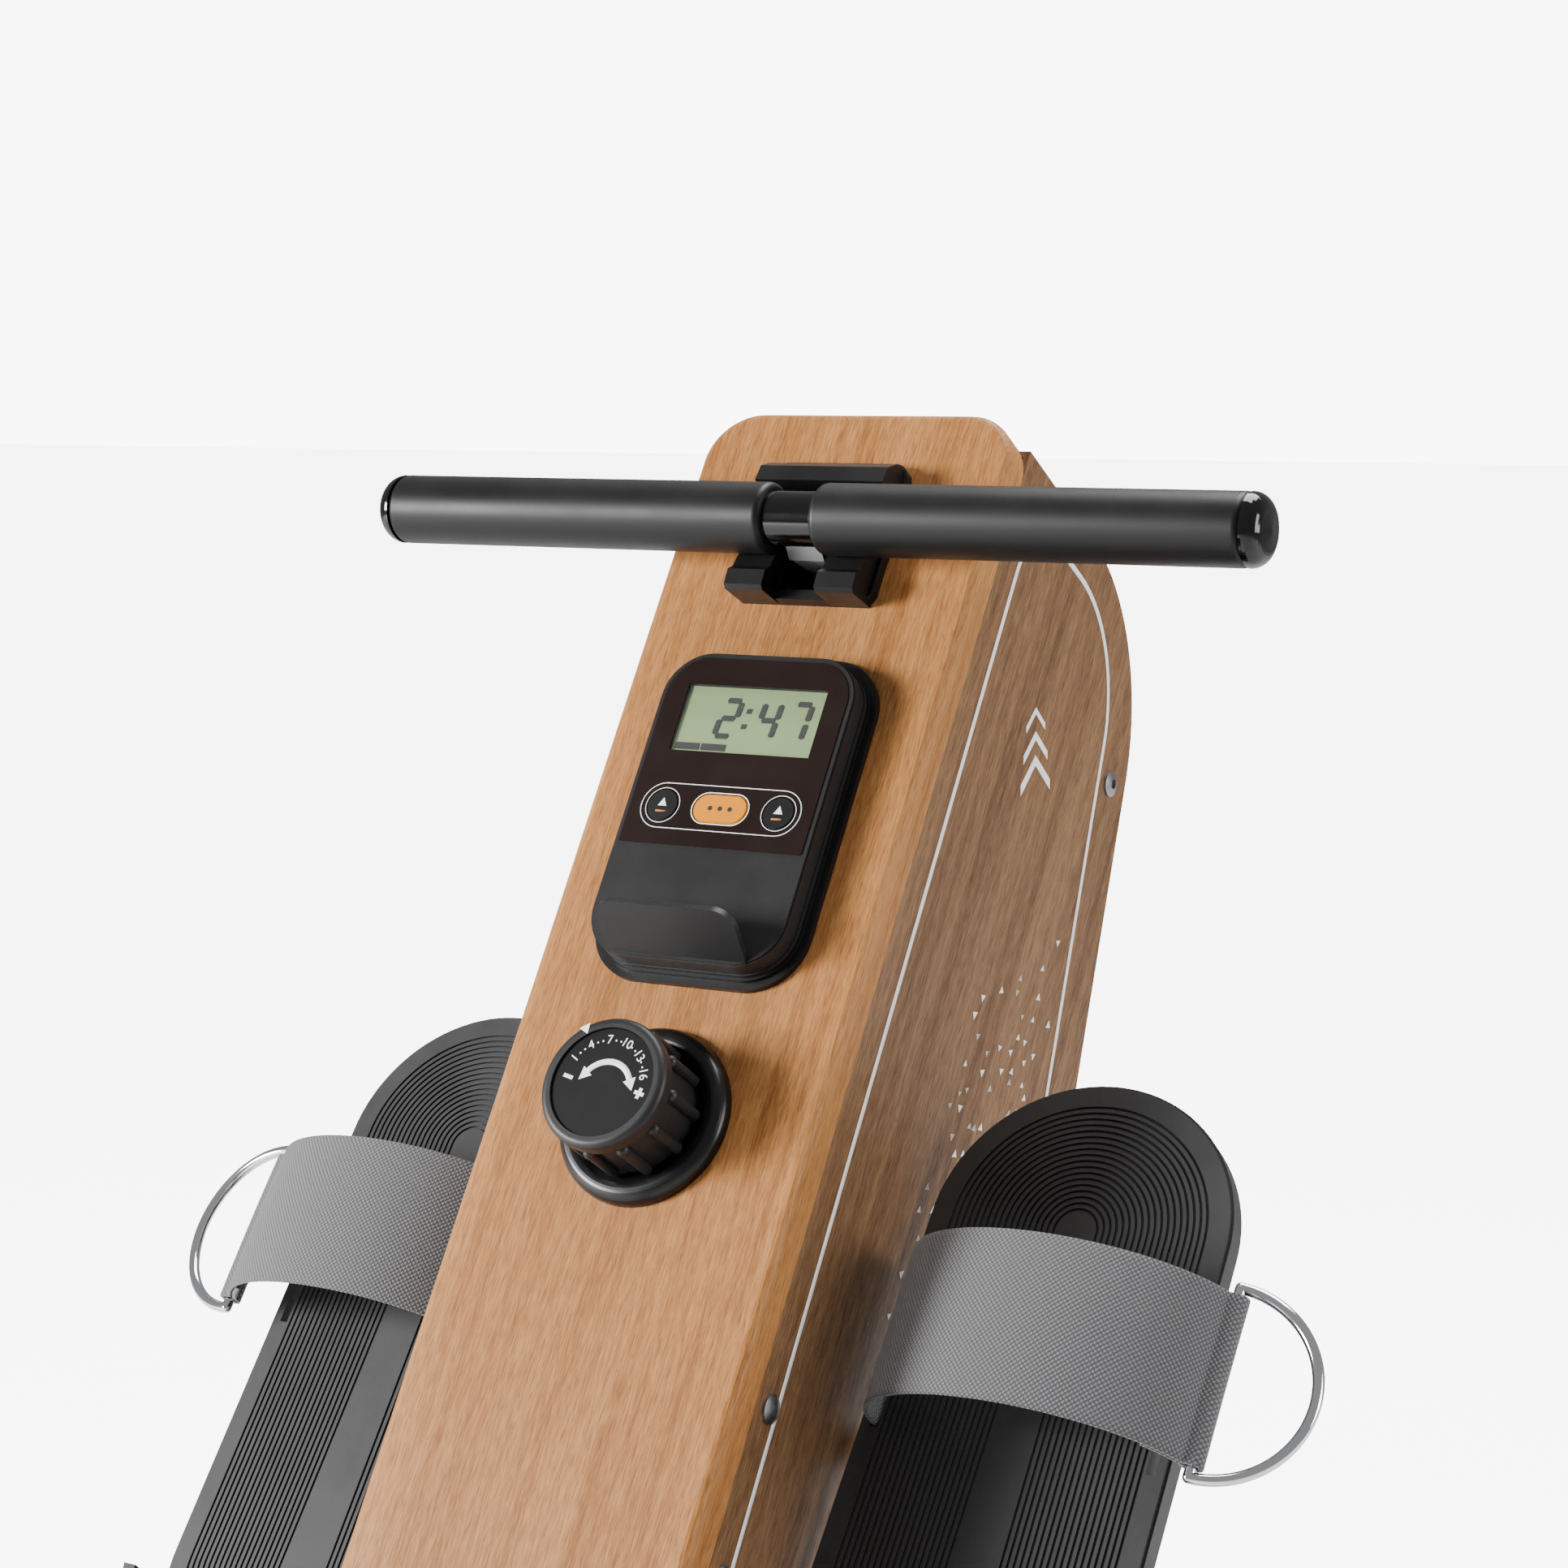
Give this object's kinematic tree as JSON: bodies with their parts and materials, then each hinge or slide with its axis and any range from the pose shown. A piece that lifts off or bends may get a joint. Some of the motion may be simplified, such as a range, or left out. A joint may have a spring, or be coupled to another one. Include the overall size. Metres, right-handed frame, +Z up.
{
  "type": "rowing machine",
  "caption": "Magnetic rowing machine with a leaning wood-grain shroud, pull handle, console, tension knob, foot pedals, rail and sliding seat.",
  "frame": {"origin": "centre of the bounding box on the floor", "axes": "+Y from the user's end towards the flywheel end, +X to the user's right, +Z up"},
  "size_m": [0.5722, 1.8, 0.7984],
  "materials": {
    "frame_paint": "satin black powder coat",
    "plate_paint": "satin grey",
    "rail_metal": "anodised",
    "cap_rubber": "matte",
    "fastener": "polished",
    "wood_front": "satin wood grain film",
    "wood_side": "satin wood grain film",
    "cradle_plastic": "fine texture",
    "console_plastic": "fine texture",
    "film": "gloss",
    "lcd": "reflective liquid crystal",
    "window": "clear",
    "board": "solder mask",
    "battery": "printed sleeve",
    "key_plastic": "satin",
    "mode_plastic": "satin",
    "knob_plastic": "fine texture",
    "dial": "printed film",
    "steel": "turned",
    "cable_sheath": "satin",
    "iron": "painted",
    "magnet": "nickel plated",
    "belt_rubber": "ribbed",
    "roller_plastic": "satin",
    "seat_roller": "satin",
    "webbing": "woven",
    "grip_foam": "fine foam",
    "handle_paint": "gloss",
    "cap_gloss": "gloss",
    "pedal_plastic": "fine texture",
    "ring_chrome": "polished",
    "wheel_plastic": "satin",
    "seat_cover": "moulded foam with cover",
    "spring_steel": "blued"
  },
  "bodies": {
    "frame": {"main_frame": "frame_paint", "bearing_plates": "plate_paint", "front_stabilizer": "frame_paint", "end_caps": "cap_rubber", "rail": "rail_metal", "rail_bumpers": "cap_rubber", "rear_leg": "frame_paint", "rear_stabilizer": "frame_paint", "frame_bolts": "fastener", "front_cover": "wood_front", "left_cover": "wood_side", "right_cover": "wood_side", "cover_screws": "fastener", "cradle": "cradle_plastic", "console_base": "console_plastic", "console_front": "console_plastic", "console_film": "film", "display": "lcd", "display_window": "window", "circuit_board": "board", "batteries": "battery", "knob_collar": "knob_plastic", "dial_disc": "dial", "cable_bracket": "plate_paint", "brake_cable": "cable_sheath", "drive_axles": "steel", "recoil_case": "roller_plastic", "recoil_spring": "spring_steel", "drive_belt": "belt_rubber", "speed_sensor": "roller_plastic", "pull_strap": "webbing", "pedal_axle": "steel", "wheel_bracket": "frame_paint"},
    "handle": {"handle_tube": "handle_paint", "hand_grips": "grip_foam", "handle_caps": "cap_gloss", "strap_clip": "steel"},
    "drum": {"strap_drum": "roller_plastic", "wound_strap": "webbing"},
    "guide_roller": {"guide_roller": "roller_plastic"},
    "flywheel": {"flywheel": "iron"},
    "magnet_arm": {"magnet_arm": "plate_paint", "magnets": "magnet"},
    "knob": {"tension_knob": "knob_plastic", "cable_cam": "roller_plastic"},
    "left_key": {"left_key": "key_plastic"},
    "mode_key": {"mode_key": "mode_plastic"},
    "right_key": {"right_key": "key_plastic"},
    "left_pedal": {"left_pedal": "pedal_plastic", "left_foot_strap": "webbing"},
    "right_pedal": {"right_pedal": "pedal_plastic", "right_foot_strap": "webbing"},
    "left_ring": {"left_ring": "ring_chrome"},
    "right_ring": {"right_ring": "ring_chrome"},
    "left_wheel": {"left_wheel": "wheel_plastic"},
    "right_wheel": {"right_wheel": "wheel_plastic"},
    "seat": {"seat_pad": "seat_cover", "seat_carriage": "frame_paint"},
    "front_rollers": {"front_rollers": "seat_roller"},
    "rear_rollers": {"rear_rollers": "seat_roller"}
  },
  "joints": [
    {"name": "handle_pull", "type": "slide", "parent": "frame", "child": "handle", "axis": [0, -0.9962, -0.0872], "range_m": [0, 1.1], "stiffness_N_per_m": 30, "springref_m": -0.5, "deforming": ["pull_strap"]},
    {"name": "drum_spin", "type": "hinge", "parent": "frame", "child": "drum", "pos_m": [0, 0.70346, 0.5], "axis": [1, 0, 0], "range_deg": [0, 1750]},
    {"name": "guide_spin", "type": "hinge", "parent": "frame", "child": "guide_roller", "pos_m": [0, 0.74682, 0.7134], "axis": [1, 0, 0], "range_deg": [0, 4800]},
    {"name": "flywheel_spin", "type": "hinge", "parent": "frame", "child": "flywheel", "pos_m": [0, 0.57954, 0.198], "axis": [1, 0, 0], "continuous": true},
    {"name": "knob_turn", "type": "hinge", "parent": "frame", "child": "knob", "pos_m": [0, 0.58989, 0.50514], "axis": [0, 0.8425, -0.5388], "range_deg": [-26.8, 107.2]},
    {"name": "magnet_swing", "type": "hinge", "parent": "frame", "child": "magnet_arm", "pos_m": [0, 0.66894, 0.26295], "axis": [1, 0, 0], "range_deg": [-1, 3.2]},
    {"name": "left_key_press", "type": "slide", "parent": "frame", "child": "left_key", "axis": [0, 0.8425, -0.5388], "range_m": [0, 0.0008], "stiffness_N_per_m": 900, "springref_m": -0.0004},
    {"name": "mode_key_press", "type": "slide", "parent": "frame", "child": "mode_key", "axis": [0, 0.8425, -0.5388], "range_m": [0, 0.0008], "stiffness_N_per_m": 900, "springref_m": -0.0004},
    {"name": "right_key_press", "type": "slide", "parent": "frame", "child": "right_key", "axis": [0, 0.8425, -0.5388], "range_m": [0, 0.0008], "stiffness_N_per_m": 900, "springref_m": -0.0004},
    {"name": "left_pedal_tilt", "type": "hinge", "parent": "frame", "child": "left_pedal", "pos_m": [-0.1574, 0.64706, 0.35613], "axis": [1, 0, 0], "range_deg": [-12, 18]},
    {"name": "right_pedal_tilt", "type": "hinge", "parent": "frame", "child": "right_pedal", "pos_m": [0.1574, 0.64706, 0.35613], "axis": [1, 0, 0], "range_deg": [-12, 18]},
    {"name": "left_ring_swing", "type": "hinge", "parent": "left_pedal", "child": "left_ring", "pos_m": [-0.24346, 0.6304, 0.41737], "axis": [0, -0.6157, -0.788], "range_deg": [-40, 85]},
    {"name": "right_ring_swing", "type": "hinge", "parent": "right_pedal", "child": "right_ring", "pos_m": [0.24346, 0.6304, 0.41737], "axis": [0, 0.6157, 0.788], "range_deg": [-40, 85]},
    {"name": "seat_slide", "type": "slide", "parent": "frame", "child": "seat", "axis": [0, -1, 0], "range_m": [-0.44, 0.59]},
    {"name": "front_rollers_spin", "type": "hinge", "parent": "seat", "child": "front_rollers", "pos_m": [0, -0.08, 0.2953], "axis": [1, 0, 0], "range_deg": [-1700, 2250]},
    {"name": "rear_rollers_spin", "type": "hinge", "parent": "seat", "child": "rear_rollers", "pos_m": [0, -0.22, 0.2953], "axis": [1, 0, 0], "range_deg": [-1700, 2250]},
    {"name": "left_wheel_spin", "type": "hinge", "parent": "frame", "child": "left_wheel", "pos_m": [-0.169, 0.87146, 0.031], "axis": [1, 0, 0], "continuous": true},
    {"name": "right_wheel_spin", "type": "hinge", "parent": "frame", "child": "right_wheel", "pos_m": [0.169, 0.87146, 0.031], "axis": [1, 0, 0], "continuous": true}
  ],
  "couplings": [
    {"joint": "drum_spin", "follows": "handle_pull", "rad_per_m": 27.027},
    {"joint": "guide_spin", "follows": "handle_pull", "rad_per_m": 75.758},
    {"joint": "magnet_swing", "follows": "knob_turn", "ratio": 0.0291},
    {"joint": "front_rollers_spin", "follows": "seat_slide", "rad_per_m": 65.359},
    {"joint": "rear_rollers_spin", "follows": "seat_slide", "rad_per_m": 65.359}
  ]
}
